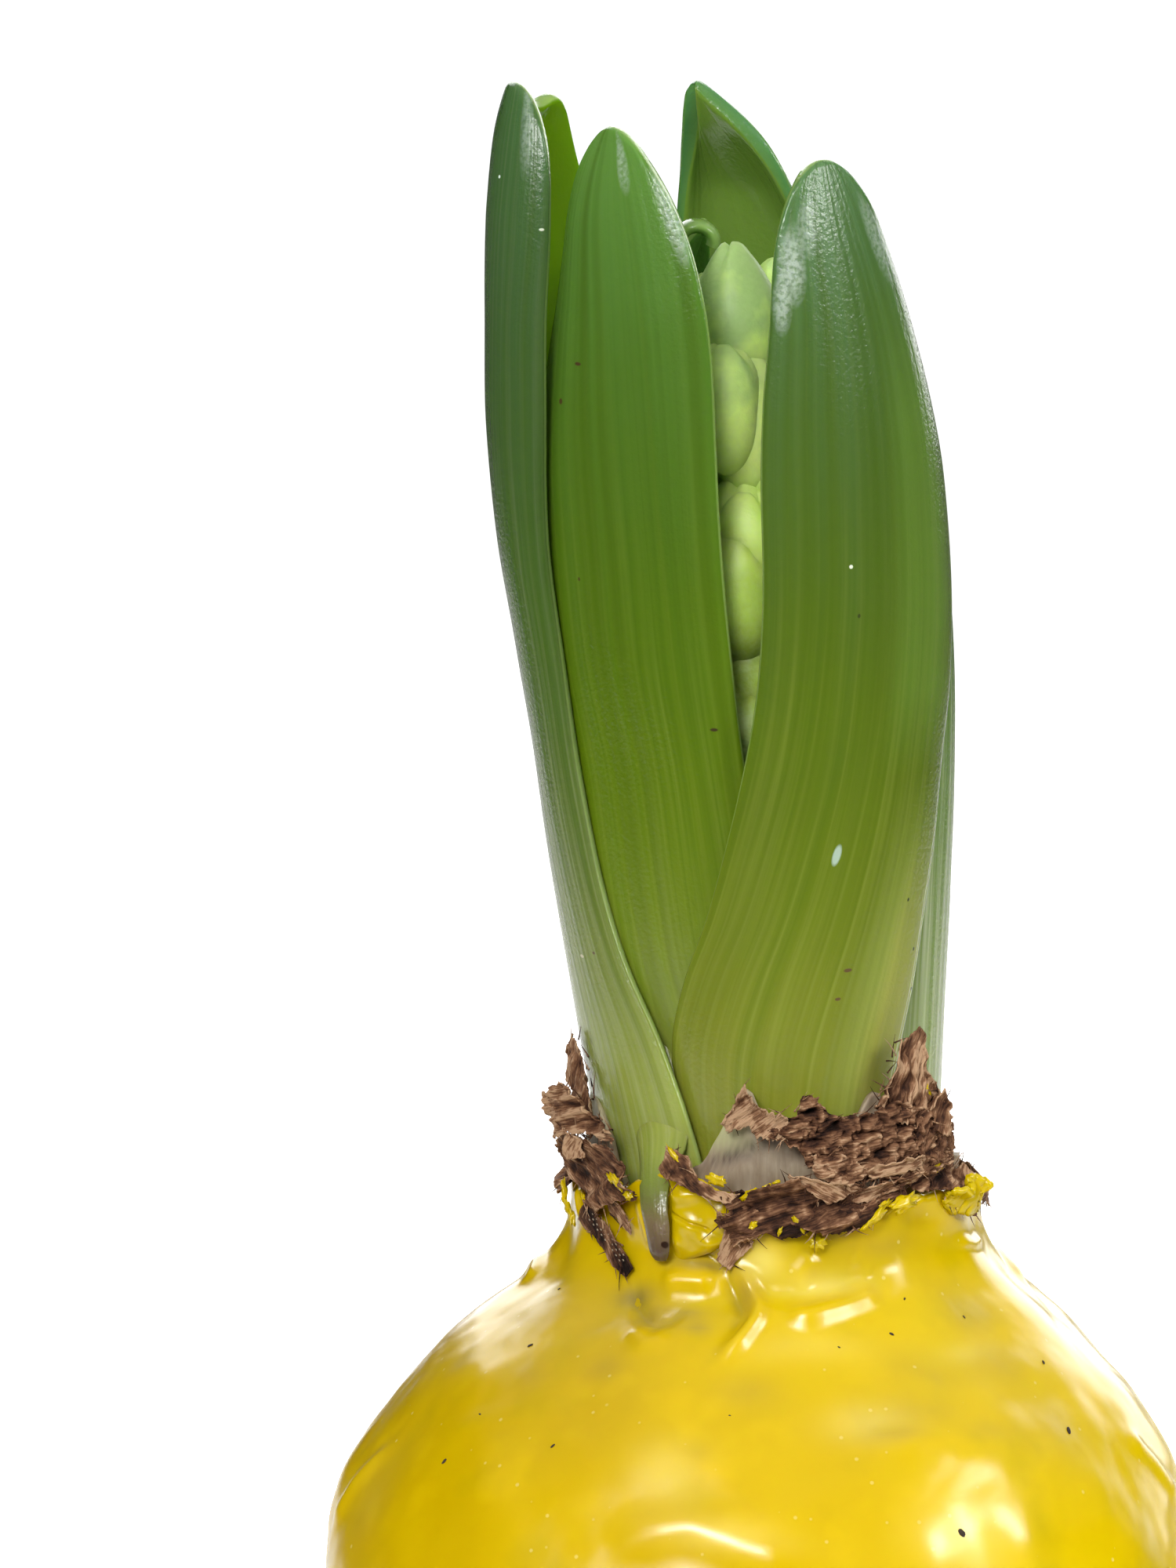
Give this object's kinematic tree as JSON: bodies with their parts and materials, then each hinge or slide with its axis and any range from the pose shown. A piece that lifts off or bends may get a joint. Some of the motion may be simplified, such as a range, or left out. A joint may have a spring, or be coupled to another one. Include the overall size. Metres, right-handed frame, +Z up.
{
  "type": "waxed hyacinth bulb",
  "caption": "Sprouting hyacinth bulb in a glossy yellow wax coat that stands on its flat foot, with upright strap leaves round a closed green flower spike.",
  "frame": {"origin": "centre of the flat spot that the bulb stands on", "axes": "+Z up along the bulb and its shoot, -Y towards the side that the picture shows, +X to the right in the picture"},
  "size_m": [0.0646, 0.0645, 0.1397],
  "materials": {
    "yellow_wax": "glossy hand-dipped candle wax, slightly translucent",
    "bulb_scale": "pale dry scale over white flesh, matt",
    "dry_skin": "brittle papery brown bulb skin, crumpled and torn",
    "leaf": "fleshy green leaf, glossy cuticle, fine lengthwise ribs",
    "flower_bud": "fleshy light green closed buds, waxy and matt"
  },
  "bodies": {
    "root": {"wax_coat": "yellow_wax", "bulb": "bulb_scale", "tunic_left": "dry_skin", "tunic_front": "dry_skin", "tunic_right": "dry_skin", "tunic_back": "dry_skin", "leaf_left": "leaf", "leaf_front_left": "leaf", "leaf_front_right": "leaf", "leaf_right": "leaf", "leaf_back": "leaf", "leaf_inner": "leaf", "flower_spike": "flower_bud"}
  },
  "joints": []
}
